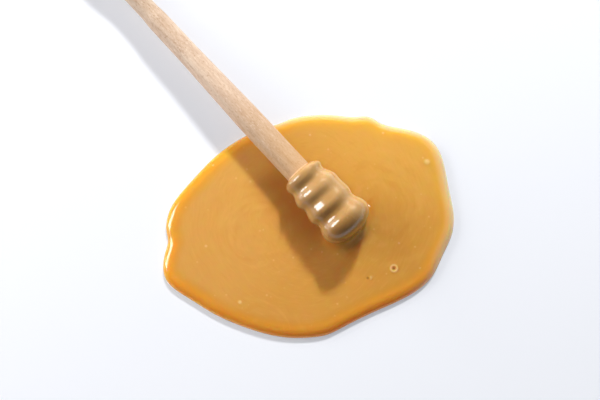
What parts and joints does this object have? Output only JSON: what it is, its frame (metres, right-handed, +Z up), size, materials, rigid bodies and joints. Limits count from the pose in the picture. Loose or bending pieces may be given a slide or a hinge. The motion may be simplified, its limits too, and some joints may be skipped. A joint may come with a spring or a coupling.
{
  "type": "honey dipper in a pool of honey",
  "caption": "Turned wooden honey dipper lying flat, its ringed head coated in thick opaque honey and sunk in a round-edged pool of the same honey.",
  "frame": {"origin": "middle of the pool's flat underside, on the surface the part lies on", "axes": "+X level along the dipper from its knob towards its head; +Z up, away from the surface; +Y completes a right-handed frame"},
  "size_m": [0.1843, 0.1117, 0.0201],
  "materials": {
    "honey": "thick creamed honey, opaque caramel yellow, smooth and glossy",
    "honey_over_wood": "thin glossy honey over wood, tan and slightly see-through",
    "wood": "bare pale beech, turned and sanded, unvarnished"
  },
  "bodies": {
    "root": {"honey_pool": "honey", "honey_coat": "honey_over_wood", "dipper": "wood"}
  },
  "joints": []
}
